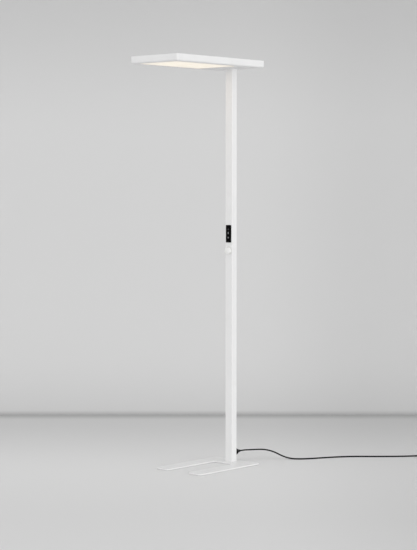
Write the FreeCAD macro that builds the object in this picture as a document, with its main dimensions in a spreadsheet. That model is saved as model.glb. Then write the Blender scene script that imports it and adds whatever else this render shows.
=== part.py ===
import FreeCAD, Part
import math
import os
import re
import Sketcher
from FreeCAD import Placement, Rotation, Vector

# Office floor lamp: a flat lighting head on a rectangular post, on a U-shaped steel foot.
# Millimetres. The origin is on the floor under the post's axis, +Z is up and -Y is the
# front, where the head reaches over the desk and the foot's two prongs point.

os.makedirs("parts", exist_ok=True)
doc = FreeCAD.newDocument("office_floor_lamp")

# ---------------------------------------------------------------- driving dimensions
SIZES = {
    "lamp_height": 1950, "fit_gap": 0.3, "thread_gap": 0.1,
    # foot
    "underlay_thick": 1.5, "underlay_inset": 3, "base_thick": 6, "base_width": 292,
    "base_front": 384, "base_rear": 51, "prong_width": 83, "slot_rear": 51,
    "base_corner": 18, "slot_corner": 20, "base_edge_break": 0.8,
    # post
    "post_width": 42, "post_depth": 36, "post_wall": 2.5, "post_corner": 2,
    "foot_block_height": 28, "foot_screw_x": 11, "foot_screw_y": 8,
    "side_screw_x": 10, "side_screw_up": 14,
    # head
    "head_width": 296, "head_front": 542, "head_rear": 73, "head_thick": 34, "head_sheet": 2,
    "head_corner": 8, "head_edge_round": 8, "head_inner_break": 3.5, "cover_sheet": 1.5, "cover_drop": 1.5,
    "boss_r": 4.5, "boss_inset": 12, "screw_depth": 8,
    "window_width": 236, "window_front": 515, "window_rear": 105, "panel_lip": 5, "window_corner": 3,
    "diffuser_sheet": 2, "diffuser_recess": 0.4,
    "uplight_width": 226, "uplight_front": 505, "uplight_rear": 115,
    "carrier_sheet": 1.2, "carrier_foot": 6, "carrier_gap": 0.8, "carrier_over": 2,
    "carrier_height": 15, "foot_pilot": 1.5,
    "strip_width": 12, "strip_board": 1, "led_size": 3, "led_height": 0.8,
    "down_strips": 5, "up_strips": 3, "down_pitch": 46, "up_pitch": 70, "leds_per_strip": 9,
    "bracket_width": 92, "bracket_depth": 66, "bracket_plate": 5, "spigot_depth": 58,
    "lead_bore_r": 6, "bracket_screw_x": 36, "bracket_screw_y": 23, "bracket_boss": 4,
    "bracket_boss_r": 3.8, "bracket_head_r": 5.5, "bracket_corner": 5, "block_corner": 1,
    "bracket_screw_bite": 3,
    "driver_width": 190, "driver_depth": 42, "driver_height": 22, "driver_rear": 46,
    "driver_flange": 12, "driver_flange_thick": 1.5, "driver_corner": 2,
    "terminal_left": 50, "terminal_width": 30, "terminal_depth": 36, "terminal_height": 22,
    "terminal_hole_r": 2,
    # control panel on the front of the post
    "control_middle": 1118.8, "control_width": 32.4, "control_height": 84, "control_proud": 3,
    "control_corner": 2, "control_body_width": 29, "control_body_height": 77,
    "control_body_depth": 12, "control_wall": 1.5, "control_face": 2.5,
    "control_edge": 0.6,
    "key_width": 17, "key_height": 15, "key_proud": 0.4, "key_lip": 1.5, "key_lip_thick": 1.2,
    "key_travel": 0.8, "key_corner": 1.2, "key_edge": 0.3, "key_gap": 0.35,
    "up_key_down": 38.4, "down_key_down": 60.2,
    "lens_down": 20.7, "lens_r": 4, "board_thick": 1.6, "board_in": 9.5, "stem_r": 2.2,
    "switch_size": 6, "switch_height": 3.5, "plunger_r": 1.6, "plunger_gap": 0.2,
    "plunger_in": 1.4, "board_boss_r": 3,
    "board_boss_inset": 3.7, "board_screw_r": 1, "board_screw_head_r": 2, "clip_width": 10,
    "clip_rise": 0.9, "clip_length": 3,
    # presence sensor under the control panel
    "sensor_z": 1036.3, "sensor_flange_r": 19.5, "sensor_flange": 2, "sensor_neck_r": 14.6,
    "sensor_neck": 9, "sensor_wall": 1.4, "dome_r": 18.2, "dome_wall": 1.2,
    "dome_skirt": 3, "dome_cap": 8, "sensor_nut_r": 17.4, "sensor_nut": 4, "detector_r": 4.6,
    "detector_height": 5, "sensor_ledge_in": 6.5, "sensor_ledge_r": 11.5, "sensor_ledge_thick": 1,
    "sensor_board": 1.6,
    # mains lead
    "lead_z": 50, "lead_r": 3.5, "inner_lead_r": 3, "relief_r": 17, "relief_plate": 2,
    "relief_length": 50, "relief_tip_r": 4.6, "relief_waist_r": 7.5, "relief_waist": 5,
    "inner_lead_y": -1, "inner_lead_bend": 10, "terminal_lead_up": 15,
    "relief_neck_r": 7.6, "relief_neck": 8.5,
    "relief_nut_r": 12, "relief_nut": 5,
    "coil_turns": 4, "coil_outer_r": 54, "turn_pitch": 7.8, "layer_pitch": 7.8,
    "plug_r": 19, "plug_length": 34, "plug_tail": 22, "plug_tail_r": 5.5, "plug_pin_r": 2.4,
    "plug_pin_length": 19, "plug_pin_pitch": 19, "plug_pin_edge": 1.2, "plug_edge": 2,
    # fasteners
    "screw_r": 1.9, "screw_head_r": 3.6, "screw_head": 2.2,
    "foot_screw_r": 3, "foot_screw_head_r": 5.4, "foot_screw_head": 3, "foot_screw_length": 10,
    "flange_head_r": 2.6, "flange_head": 1.4, "flange_screw_r": 1.1,
}
# Sizes that follow from the ones above, each written once as a formula.
FORMULAS = {
    "post_inner_width": "post_width - 2 * post_wall",
    "post_inner_depth": "post_depth - 2 * post_wall",
    "base_bottom": "underlay_thick", "base_top": "base_bottom + base_thick",
    "head_bottom": "lamp_height - head_thick", "head_floor": "head_bottom + head_sheet",
    "cover_bottom": "lamp_height - cover_drop - cover_sheet",
    "boss_x": "head_width / 2 - boss_inset", "pane_half": "window_width / 2 + panel_lip",
    "carrier_half": "pane_half + carrier_gap + carrier_sheet",
    "carrier_front": "window_front + panel_lip + carrier_over",
    "carrier_rear": "window_rear - panel_lip - carrier_over",
    "bracket_top": "head_floor + bracket_plate",
    "spigot_width": "post_inner_width - 2 * fit_gap",
    "spigot_length": "post_inner_depth - 2 * fit_gap",
    "post_length": "head_bottom - base_top",
    "post_front": "post_depth / 2", "board_front": "post_front - board_in",
    "sensor_ledge": "post_front - sensor_ledge_in", "post_inner_front": "post_front - post_wall",
    "slot_half": "base_width / 2 - prong_width",
    "carrier_top": "head_floor + carrier_height",
    "control_front": "post_front + control_proud",
    "control_top": "control_middle + control_height / 2",
    "up_key_z": "control_top - up_key_down", "down_key_z": "control_top - down_key_down",
    "lens_z": "control_top - lens_down",
    "face_inner": "control_front - control_face",
    "dome_back": "post_front + sensor_flange",
    "sensor_inner_r": "sensor_neck_r - sensor_wall",
    "key_lip_front": "face_inner - fit_gap", "key_lip_back": "key_lip_front - key_lip_thick",
    "switch_front": "board_front + switch_height",
    "plunger_proud": "key_travel + plunger_gap",
    "switch_bore": "plunger_in + key_travel + fit_gap",
    "plunger_front": "switch_front + plunger_proud",
    "control_half_height": "control_body_height / 2",
    "board_boss_up": "control_half_height - control_wall - board_boss_inset",
    "relief_end": "post_front + relief_length",
}

sheet = doc.addObject("Spreadsheet::Sheet", "size")


def set_up_sheet():
    """Writes every size and formula to the sheet, one row each, under its own name."""
    row = 0
    for name, number in SIZES.items():
        row += 1
        sheet.set(f"A{row}", name)
        sheet.set(f"B{row}", str(number))
        sheet.setAlias(f"B{row}", name)
    for name, formula in FORMULAS.items():
        row += 1
        sheet.set(f"A{row}", name)
        sheet.set(f"B{row}", "=" + formula)
        sheet.setAlias(f"B{row}", name)
    doc.recompute()


def bound(formula):
    """A formula in size names, as an expression on the sheet."""
    return re.sub(r"\b[a-z]+_[a-z_]+\b", lambda found: "size." + found.group(), formula)


def number(formula):
    """A formula in size names, worked out."""
    return float(sheet.evalExpression(formula))


set_up_sheet()
PLANES = {"top": "XY_Plane", "front": "XZ_Plane", "side": "YZ_Plane"}


# ---------------------------------------------------------------- sketches
def new_body(label):
    body = doc.addObject("PartDesign::Body", label)
    body.Label = label
    body.AllowCompound = True
    return body


def new_sketch(body, plane="top", height="0"):
    """A sketch on one of the body's own planes: top (+Z), front (-Y) or side (+X), at a height."""
    sketch = body.newObject("Sketcher::SketchObject", body.Label + "_sketch")
    role = PLANES[plane]
    own = next(item for item in body.Origin.OriginFeatures if item.Role == role)
    sketch.AttachmentSupport = [(own, "")]
    sketch.MapMode = "FlatFace"
    sketch.setExpression("AttachmentOffset.Base.z", bound(height))
    return sketch


def pin(sketch, geometry, point, kind, formula):
    """Holds one point of the sketch at a distance from the origin, along X or Y."""
    distance = number(formula)
    if abs(distance) < 1e-9:
        sketch.addConstraint(Sketcher.Constraint("PointOnObject", geometry, point, -2 if kind == "DistanceX" else -1))
        return
    first, second = ((-1, 1), (geometry, point)) if distance > 0 else ((geometry, point), (-1, 1))
    index = sketch.addConstraint(Sketcher.Constraint(kind, *first, *second, abs(distance)))
    sketch.setExpression(f"Constraints[{index}]", bound(formula if distance > 0 else f"-({formula})"))


def hold(sketch, geometry, kind, formula):
    index = sketch.addConstraint(Sketcher.Constraint(kind, geometry, number(formula)))
    sketch.setExpression(f"Constraints[{index}]", bound(formula))


def draw_circle(sketch, x, y, radius):
    centre = Vector(number(x), number(y), 0)
    circle = sketch.addGeometry(Part.Circle(centre, Vector(0, 0, 1), number(radius)))
    pin(sketch, circle, 3, "DistanceX", x)
    pin(sketch, circle, 3, "DistanceY", y)
    hold(sketch, circle, "Radius", radius)


def draw_outline(sketch, corners, radii=None):
    """A closed outline through corners, each a pair of formulas, with rounded corners where a
    radius is given. Every corner that stays sharp is held in place; a rounded corner keeps a
    construction point there, and its arc is tangent to both sides."""
    radii = radii or {}
    spots = [Vector(number(x), number(y), 0) for x, y in corners]
    count = len(spots)
    starts, ends, arcs = list(spots), list(spots), {}
    for i, radius in radii.items():
        before = (spots[i - 1] - spots[i]).normalize()
        after = (spots[(i + 1) % count] - spots[i]).normalize()
        half = before.getAngle(after) / 2
        reach = number(radius) / math.tan(half)
        ends[i], starts[i] = spots[i] + before * reach, spots[i] + after * reach
        middle = spots[i] + (before + after).normalize() * (number(radius) / math.sin(half))
        arcs[i] = (middle, number(radius))
    lines = []
    for i in range(count):
        far = (i + 1) % count
        lines.append(sketch.addGeometry(Part.LineSegment(starts[i], ends[far])))
    for i in range(count):
        here, last = lines[i], lines[i - 1]
        if i not in radii:
            sketch.addConstraint(Sketcher.Constraint("Coincident", last, 2, here, 1))
            continue
        middle, radius = arcs[i]
        turn = (ends[i] - middle).cross(starts[i] - middle).z
        first, second = (ends[i], starts[i]) if turn > 0 else (starts[i], ends[i])
        circle = Part.Circle(middle, Vector(0, 0, 1), radius)
        angles = [math.atan2((p - middle).y, (p - middle).x) for p in (first, second)]
        if angles[1] < angles[0]:
            angles[1] += 2 * math.pi
        arc = sketch.addGeometry(Part.ArcOfCircle(circle, *angles))
        at_end, at_start = (1, 2) if turn > 0 else (2, 1)
        sketch.addConstraint(Sketcher.Constraint("Tangent", last, 2, arc, at_end))
        sketch.addConstraint(Sketcher.Constraint("Tangent", here, 1, arc, at_start))
        hold(sketch, arc, "Radius", radii[i])
    for i, (x, y) in enumerate(corners):
        here = lines[i]
        if i in radii:
            point = sketch.addGeometry(Part.Point(spots[i]), True)
            sketch.addConstraint(Sketcher.Constraint("PointOnObject", point, 1, here))
            sketch.addConstraint(Sketcher.Constraint("PointOnObject", point, 1, lines[i - 1]))
            pin(sketch, point, 1, "DistanceX", x)
            pin(sketch, point, 1, "DistanceY", y)
        else:
            pin(sketch, here, 1, "DistanceX", x)
            pin(sketch, here, 1, "DistanceY", y)


def draw_polygon(sketch, x, y, radius, sides):
    """A regular polygon about a point, with its corners at this radius."""
    corners = []
    for k in range(sides):
        angle = 2 * math.pi * (k + 0.5) / sides
        corners.append((f"({x}) + ({radius}) * {math.cos(angle):.6f}",
                        f"({y}) + ({radius}) * {math.sin(angle):.6f}"))
    draw_outline(sketch, corners)


def draw_rectangle(sketch, left, right, low, high, corner=None):
    corners = [(left, low), (right, low), (right, high), (left, high)]
    draw_outline(sketch, corners, {i: corner for i in range(4)} if corner else None)


def centred(width):
    """The two ends of a width about the middle plane."""
    return f"-({width}) / 2", f"({width}) / 2"


# ---------------------------------------------------------------- features
def pad(body, sketch, length, backwards=False):
    """Adds the sketch's area along its normal, or the other way."""
    feature = body.newObject("PartDesign::Pad", body.Label + "_pad")
    feature.Profile = sketch
    feature.setExpression("Length", bound(length))
    feature.Reversed = backwards
    doc.recompute()
    return feature


def cut(body, sketch, length, backwards=False):
    """Removes the sketch's area along its normal, or the other way, and checks that it did."""
    before = body.Shape.Volume
    feature = body.newObject("PartDesign::Pocket", body.Label + "_pocket")
    feature.Profile = sketch
    feature.setExpression("Length", bound(length))
    feature.Reversed = not backwards
    doc.recompute()
    if not body.Shape.Volume < before - 1e-6:
        raise ValueError(f"{feature.Label} cuts nothing")
    return feature


def revolve(body, sketch):
    """Turns a profile on the front plane, radius across and height up, about the body's Z axis."""
    feature = body.newObject("PartDesign::Revolution", body.Label + "_turned")
    feature.Profile = sketch
    feature.ReferenceAxis = (sketch, ["V_Axis"])
    feature.Angle = 360
    doc.recompute()
    return feature


def dress_edges(body, kind, size, wanted):
    """Rounds or chamfers the edges for which wanted(edge) is true."""
    base = body.Tip
    names = [f"Edge{i}" for i, edge in enumerate(base.Shape.Edges, 1) if wanted(edge)]
    feature = body.newObject("PartDesign::" + kind, f"{body.Label}_{kind.lower()}")
    feature.Base = (base, names)
    feature.setExpression("Radius" if kind == "Fillet" else "Size", bound(size))
    doc.recompute()
    return feature


def in_plane(axis, formula):
    """A test for the edges that lie in the plane where this coordinate has this value."""
    level = number(formula)

    def wanted(edge):
        ends = [getattr(point, axis) for point in (edge.BoundBox.Center, edge.Vertexes[0].Point)]
        spread = getattr(edge.BoundBox, axis.upper() + "Length")
        return spread < 1e-6 and all(abs(at - level) < 1e-6 for at in ends)

    return wanted


def put(body, x="0", y="0", z="0", facing="up"):
    """Places a body at a point, its own +Z facing up, to the front (-Y), to the rear or down."""
    turns = {"up": 0, "front": 90, "rear": -90, "down": 180}
    body.Placement = Placement(Vector(), Rotation(Vector(1, 0, 0), turns[facing]))
    for axis, formula in zip("xyz", (x, y, z), strict=True):
        body.setExpression(f"Placement.Base.{axis}", bound(formula))


def turned(label, profile, x="0", y="0", z="0", facing="up"):
    """A body of revolution from (radius, height) pairs."""
    body = new_body(label)
    sketch = new_sketch(body, "front")
    draw_outline(sketch, profile)
    revolve(body, sketch)
    put(body, x, y, z, facing)
    return body


# A small screw repeats often, so its head and its shank are prisms with this many sides.
SCREW_HEAD_SIDES = 12
SCREW_SHANK_SIDES = 6


def screws(label, spots, length, facing, level, head_r="screw_head_r", head="screw_head",
           shank_r="screw_r"):
    """A set of pan head screws, one solid each. spots are pairs in the plane of their heads,
    whose undersides are at level; facing is where the heads face."""
    body = new_body(label)
    parts = ((head_r, SCREW_HEAD_SIDES, "0", head), (shank_r, SCREW_SHANK_SIDES, f"-({length})", "0"))
    for radius, sides, low, high in parts:
        sketch = new_sketch(body, "top", low)
        for across, along in spots:
            draw_polygon(sketch, across, along, radius, sides)
        pad(body, sketch, f"({high}) - ({low})")
    if facing in ("front", "rear"):
        put(body, y=level, facing=facing)
    else:
        put(body, z=level, facing=facing)
    return body


# ---------------------------------------------------------------- head
HEAD_SIDES = centred("head_width")
HEAD_ENDS = ("-head_front", "head_rear")


def head_inside(sketch, gap):
    """The outline that lies this far inside the head's outer walls."""
    left, right = (f"({side}) {sign} ({gap})" for side, sign in zip(HEAD_SIDES, "+-", strict=True))
    low, high = (f"({end}) {sign} ({gap})" for end, sign in zip(HEAD_ENDS, "+-", strict=True))
    draw_rectangle(sketch, left, right, low, high, f"head_corner - ({gap})")


def cover_screw_spots():
    """Six places along the head's long sides, for the bosses, holes and screws of its cover."""
    rows = ("-head_front + boss_inset", "-(window_front + window_rear) / 2", "head_rear - boss_inset")
    return [(side, row) for row in rows for side in ("-boss_x", "boss_x")]


def carrier_screw_spots():
    """Three places on each foot of the LED carrier."""
    across = "carrier_half + carrier_foot / 2"
    rows = ("-window_front", "-(window_front + window_rear) / 2 + 30", "-window_rear")
    return [(f"{sign}({across})", row) for row in rows for sign in ("-", "")]


def bracket_screw_spots():
    return [(f"{a}bracket_screw_x", f"{b}bracket_screw_y") for a in ("-", "") for b in ("-", "")]


def driver_screw_spots():
    across, along = "driver_width / 2 + driver_flange / 2", "-driver_rear - driver_depth / 2"
    return [(f"-({across})", along), (across, along)]


def circles(sketch, spots, radius):
    for across, along in spots:
        draw_circle(sketch, across, along, radius)


def make_head_housing():
    """The tray of the head: folded sheet with rounded lower edges, the light window, the
    opening for the post's spigot, and its bosses."""
    body = new_body("head_housing")
    outside = new_sketch(body, "top", "head_bottom")
    draw_rectangle(outside, *HEAD_SIDES, *HEAD_ENDS, "head_corner")
    pad(body, outside, "head_thick")
    inside = new_sketch(body, "top", "lamp_height")
    head_inside(inside, "head_sheet")
    cut(body, inside, "head_thick - head_sheet", backwards=True)
    dress_edges(body, "Chamfer", "head_inner_break", in_plane("z", "head_floor"))
    dress_edges(body, "Fillet", "head_edge_round", in_plane("z", "head_bottom"))
    window = new_sketch(body, "top", "head_floor")
    draw_rectangle(window, *centred("window_width"), "-window_front", "-window_rear", "window_corner")
    draw_rectangle(window, *centred("post_inner_width"), *centred("post_inner_depth"))
    cut(body, window, "head_sheet", backwards=True)
    tall = new_sketch(body, "top", "head_floor")
    circles(tall, cover_screw_spots(), "boss_r")
    pad(body, tall, "cover_bottom - head_floor")
    short = new_sketch(body, "top", "head_floor")
    circles(short, bracket_screw_spots(), "bracket_boss_r")
    pad(body, short, "bracket_boss")
    bores = new_sketch(body, "top", "cover_bottom")
    circles(bores, cover_screw_spots(), "screw_r + thread_gap")
    cut(body, bores, "screw_depth", backwards=True)
    taps = new_sketch(body, "top", "head_floor + bracket_boss")
    circles(taps, bracket_screw_spots(), "screw_r + thread_gap")
    cut(body, taps, "bracket_boss + head_sheet / 2", backwards=True)
    pilots = new_sketch(body, "top", "head_floor")
    circles(pilots, carrier_screw_spots() + driver_screw_spots(), "flange_screw_r + thread_gap")
    cut(body, pilots, "foot_pilot + thread_gap", backwards=True)


def make_head_top_cover():
    body = new_body("head_top_cover")
    plate = new_sketch(body, "top", "cover_bottom")
    head_inside(plate, "head_sheet + fit_gap")
    pad(body, plate, "cover_sheet")
    holes = new_sketch(body, "top", "cover_bottom")
    draw_rectangle(holes, *centred("uplight_width"), "-uplight_front", "-uplight_rear", "window_corner")
    circles(holes, cover_screw_spots(), "screw_r + fit_gap")
    cut(body, holes, "cover_sheet")


def make_pane(label, width, front, rear, low, back, outer):
    """A stepped pane: its lip is one panel_lip wider than its window all round and lies
    between low and back, and its middle fills the window as far as outer."""
    body = new_body(label)
    lip = new_sketch(body, "top", low)
    half = f"{width} / 2 + panel_lip"
    draw_rectangle(lip, f"-({half})", half, f"-{front} - panel_lip", f"-{rear} + panel_lip",
                   "window_corner")
    pad(body, lip, f"({back}) - ({low})")
    upwards = number(outer) > number(back)
    middle = new_sketch(body, "top", back if upwards else low)
    half = f"{width} / 2 - fit_gap"
    draw_rectangle(middle, f"-({half})", half, f"-{front} + fit_gap", f"-{rear} - fit_gap",
                   "window_corner")
    rise = f"({outer}) - ({back})" if upwards else f"({low}) - ({outer})"
    pad(body, middle, rise, backwards=not upwards)


def make_led_carrier():
    """A hat-section sheet over the diffuser, which carries the LED strips on both faces."""
    body = new_body("led_carrier")
    profile = new_sketch(body, "front", "carrier_rear")
    outer, inner, foot = "carrier_half", "carrier_half - carrier_sheet", "carrier_half + carrier_foot"
    under, step = "carrier_top - carrier_sheet", "head_floor + carrier_sheet"
    right = [(inner, "head_floor"), (foot, "head_floor"), (foot, step), (outer, step),
             (outer, "carrier_top")]
    left = [(f"-({x})", z) for x, z in reversed(right)]
    draw_outline(profile, [(inner, under), *right, *left, (f"-({inner})", under)])
    pad(body, profile, "carrier_front - carrier_rear")
    holes = new_sketch(body, "top", step)
    circles(holes, carrier_screw_spots(), "flange_screw_r + fit_gap")
    cut(body, holes, "carrier_sheet", backwards=True)


def make_led_strips(label, count, pitch, front, rear, board, face):
    """Parallel boards along Y with a row of LEDs on each, one solid a strip. board is the
    level of the side that lies on the carrier, and face is 1 for up or -1 for down."""
    strips = []
    for k in range(int(number(count))):
        middle = f"({k} - ({count} - 1) / 2) * {pitch}"
        lift = "0" if face > 0 else "-strip_board"
        pieces = [box(f"{label}_board", "strip_width", f"{front} - {rear}", "strip_board",
                      f"{middle} - strip_width / 2", f"-{front}", f"{board} + ({lift})")]
        level = f"{board} + strip_board" if face > 0 else f"{board} - strip_board - led_height"
        for n in range(int(number("leds_per_strip"))):
            step = f"({front} - {rear}) / leds_per_strip"
            along = f"-{front} + ({n} + 0.5) * {step} - led_size / 2"
            pieces.append(box(f"{label}_led", "led_size", "led_size", "led_height",
                              f"{middle} - led_size / 2", along, level))
        strip = doc.addObject("Part::MultiFuse", f"{label}_strip")
        strip.Shapes = pieces
        strips.append(strip)
    whole = doc.addObject("Part::Compound", label)
    whole.Label = label
    whole.Links = strips


def box(name, length, width, height, x, y, z):
    piece = doc.addObject("Part::Box", name)
    for what, formula in (("Length", length), ("Width", width), ("Height", height)):
        piece.setExpression(what, bound(formula))
    for axis, formula in zip("xyz", (x, y, z), strict=True):
        piece.setExpression(f"Placement.Base.{axis}", bound(formula))
    return piece


def make_head_bracket():
    """The plate that holds the head, with the spigot that stands in the top of the post."""
    body = new_body("head_bracket")
    plate = new_sketch(body, "top", "head_floor")
    draw_rectangle(plate, *centred("bracket_width"), *centred("bracket_depth"), "bracket_corner")
    pad(body, plate, "bracket_plate")
    spigot = new_sketch(body, "top", "head_floor")
    draw_rectangle(spigot, *centred("spigot_width"), *centred("spigot_length"), "block_corner")
    pad(body, spigot, "head_sheet + spigot_depth", backwards=True)
    bores = new_sketch(body, "top", "bracket_top")
    draw_circle(bores, "0", "inner_lead_y", "lead_bore_r")
    cut(body, bores, "bracket_plate + head_sheet + spigot_depth", backwards=True)
    holes = new_sketch(body, "top", "bracket_top")
    circles(holes, bracket_screw_spots(), "bracket_boss_r + fit_gap")
    cut(body, holes, "bracket_plate", backwards=True)
    taps = new_sketch(body, "front", "-spigot_length / 2")
    circles(taps, side_screw_spots("head_bottom - side_screw_up"), "screw_r + thread_gap")
    cut(body, taps, "screw_depth")


def side_screw_spots(level):
    return [("-side_screw_x", level), ("side_screw_x", level)]


def make_driver():
    body = new_body("led_driver")
    ends = ("-driver_rear - driver_depth", "-driver_rear")
    case = new_sketch(body, "top", "head_floor")
    draw_rectangle(case, *centred("driver_width"), *ends, "driver_corner")
    pad(body, case, "driver_height")
    flanges = new_sketch(body, "top", "head_floor")
    draw_rectangle(flanges, *centred("driver_width + 2 * driver_flange"), *ends, "driver_corner")
    pad(body, flanges, "driver_flange_thick")
    holes = new_sketch(body, "top", "head_floor")
    circles(holes, driver_screw_spots(), "flange_screw_r + fit_gap")
    cut(body, holes, "driver_flange_thick")


def make_terminal_block():
    body = new_body("terminal_block")
    case = new_sketch(body, "top", "head_floor")
    right = "terminal_left + terminal_width"
    draw_rectangle(case, "terminal_left", right, *centred("terminal_depth"), "block_corner")
    pad(body, case, "terminal_height")
    funnels = new_sketch(body, "top", "head_floor + terminal_height")
    for k in (-1, 0, 1):
        for share in (1, 3):
            draw_circle(funnels, f"terminal_left + terminal_width * {share} / 4",
                        f"{k} * terminal_depth / 3", "terminal_hole_r")
    cut(body, funnels, "terminal_height / 4", backwards=True)


def make_driver_lead():
    """The sheathed wires between the terminal block and the driver."""
    lead = doc.addObject("Part::Cylinder", "driver_lead")
    lead.Label = "driver_lead"
    lead.Placement = Placement(Vector(), Rotation(Vector(1, 0, 0), 90))
    lead.setExpression("Radius", bound("inner_lead_r"))
    lead.setExpression("Height", bound("driver_rear - terminal_depth / 2"))
    lead.setExpression("Placement.Base.x", bound("terminal_left + terminal_width / 2"))
    lead.setExpression("Placement.Base.y", bound("-terminal_depth / 2"))
    lead.setExpression("Placement.Base.z", bound("head_floor + driver_height / 2"))


make_head_housing()
make_head_top_cover()
screws("cover_screws", cover_screw_spots(), "cover_sheet + screw_depth - 1", "up",
       "cover_bottom + cover_sheet", head="cover_drop - fit_gap / 2")
make_pane("downlight_diffuser", "window_width", "window_front", "window_rear",
          "head_floor", "head_floor + diffuser_sheet", "head_bottom + diffuser_recess")
make_pane("uplight_pane", "uplight_width", "uplight_front", "uplight_rear",
          "cover_bottom - diffuser_sheet", "cover_bottom", "cover_bottom + cover_sheet")
make_led_carrier()
screws("carrier_screws", carrier_screw_spots(), "carrier_sheet + foot_pilot", "up",
       "head_floor + carrier_sheet", "flange_head_r", "flange_head", "flange_screw_r")
make_led_strips("downlight_led_strips", "down_strips", "down_pitch", "window_front",
                "window_rear", "carrier_top - carrier_sheet", -1)
make_led_strips("uplight_led_strips", "up_strips", "up_pitch", "uplight_front",
                "uplight_rear", "carrier_top", 1)
make_head_bracket()
screws("bracket_screws", bracket_screw_spots(), "bracket_plate - bracket_boss + bracket_screw_bite", "up",
       "bracket_top", "bracket_head_r")
make_driver()
screws("driver_screws", driver_screw_spots(), "driver_flange_thick + foot_pilot", "up",
       "head_floor + driver_flange_thick", "flange_head_r", "flange_head", "flange_screw_r")
make_terminal_block()
make_driver_lead()


# ---------------------------------------------------------------- post
def make_post_tube():
    """The rectangular tube, with windows for the control panel, the sensor and the mains lead."""
    body = new_body("post_tube")
    outside = new_sketch(body, "top", "base_top")
    draw_rectangle(outside, *centred("post_width"), *centred("post_depth"), "post_corner")
    pad(body, outside, "post_length")
    inside = new_sketch(body, "top", "base_top")
    draw_rectangle(inside, *centred("post_inner_width"), *centred("post_inner_depth"))
    cut(body, inside, "post_length")
    front = new_sketch(body, "front", "post_inner_front")
    low = "control_middle - control_half_height - fit_gap"
    high = "control_middle + control_half_height + fit_gap"
    draw_rectangle(front, *centred("control_body_width + 2 * fit_gap"), low, high)
    draw_circle(front, "0", "sensor_z", "sensor_neck_r + fit_gap")
    cut(body, front, "post_wall")
    rear = new_sketch(body, "front", "-post_inner_front")
    draw_circle(rear, "0", "lead_z", "relief_neck_r + fit_gap")
    circles(rear, side_screw_spots("base_top + side_screw_up"), "screw_r + fit_gap")
    circles(rear, side_screw_spots("head_bottom - side_screw_up"), "screw_r + fit_gap")
    cut(body, rear, "post_wall", backwards=True)


def foot_screw_spots():
    return [(f"{a}foot_screw_x", f"{b}foot_screw_y") for a in ("-", "") for b in ("-", "")]


def make_foot_block():
    """The block in the bottom of the post that the foot plate is screwed to."""
    body = new_body("post_foot_block")
    block_sketch = new_sketch(body, "top", "base_top")
    draw_rectangle(block_sketch, *centred("spigot_width"), *centred("spigot_length"), "block_corner")
    pad(body, block_sketch, "foot_block_height")
    taps = new_sketch(body, "top", "base_top")
    circles(taps, foot_screw_spots(), "foot_screw_r + thread_gap")
    cut(body, taps, "foot_screw_length")
    side = new_sketch(body, "front", "-spigot_length / 2")
    circles(side, side_screw_spots("base_top + side_screw_up"), "screw_r + thread_gap")
    cut(body, side, "screw_depth")


def make_side_screws(label, level):
    """Button heads on the rear face of the post, through its wall into the block inside."""
    spots = [(across, f"-({height})") for across, height in side_screw_spots(level)]
    screws(label, spots, "post_wall + screw_depth", "rear", "post_front")


# ---------------------------------------------------------------- control panel
def key_levels():
    return {"brighter_key": "up_key_z", "dimmer_key": "down_key_z"}


def make_control_panel():
    """The moulded housing of the keys: a proud face, a body through the post's window with a
    clip at each end, apertures for the keys and the light sensor, and bosses for its board."""
    body = new_body("control_panel")
    face = new_sketch(body, "front", "post_front")
    ends = ("control_middle - control_height / 2", "control_top")
    draw_rectangle(face, *centred("control_width"), *ends, "control_corner")
    pad(body, face, "control_proud")
    dress_edges(body, "Chamfer", "control_edge", in_plane("y", "-control_front"))
    rear = new_sketch(body, "front", "post_front")
    low, high = "control_middle - control_half_height", "control_middle + control_half_height"
    draw_rectangle(rear, *centred("control_body_width"), low, high)
    pad(body, rear, "control_body_depth", backwards=True)
    hollow = new_sketch(body, "front", "post_front - control_body_depth")
    draw_rectangle(hollow, *centred("control_body_width - 2 * control_wall"),
                   f"{low} + control_wall", f"{high} - control_wall")
    cut(body, hollow, "control_body_depth + control_proud - control_face")
    bosses = new_sketch(body, "front", "board_front")
    circles(bosses, board_screw_spots(), "board_boss_r")
    pad(body, bosses, "face_inner - board_front")
    taps = new_sketch(body, "front", "board_front")
    circles(taps, board_screw_spots(), "board_screw_r + thread_gap")
    cut(body, taps, "(face_inner - board_front) * 0.7")
    apertures = new_sketch(body, "front", "face_inner")
    for level in key_levels().values():
        draw_rectangle(apertures, *centred("key_width + 2 * key_gap"),
                       *key_ends(level, "key_gap"), "key_corner + key_gap")
    draw_circle(apertures, "0", "lens_z", "lens_r + key_gap / 2")
    cut(body, apertures, "control_face")
    for end, down in ((high, False), (low, True)):
        clip = new_sketch(body, "top", end)
        nose = "-post_inner_front + fit_gap"
        draw_rectangle(clip, *centred("clip_width"), nose, f"{nose} + clip_length")
        pad(body, clip, "clip_rise", backwards=down)


def board_screw_spots():
    return [("0", f"control_middle {sign} board_boss_up") for sign in "+-"]


def key_ends(level, more):
    return f"{level} - key_height / 2 - {more}", f"{level} + key_height / 2 + {more}"


def make_key(label, level):
    """A push key: its cap, the lip that keeps it behind the panel's face, and its stem."""
    body = new_body(label)
    cap = new_sketch(body, "front", "key_lip_front")
    draw_rectangle(cap, *centred("key_width"), *key_ends(level, "0"), "key_corner")
    pad(body, cap, "control_front + key_proud - key_lip_front")
    dress_edges(body, "Chamfer", "key_edge", in_plane("y", "-(control_front + key_proud)"))
    lip = new_sketch(body, "front", "key_lip_back")
    draw_rectangle(lip, *centred("key_width + 2 * key_lip"), *key_ends(level, "key_lip"))
    pad(body, lip, "key_lip_thick")
    stem = new_sketch(body, "front", "plunger_front")
    draw_circle(stem, "0", level, "stem_r")
    pad(body, stem, "key_lip_back - plunger_front")


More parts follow.
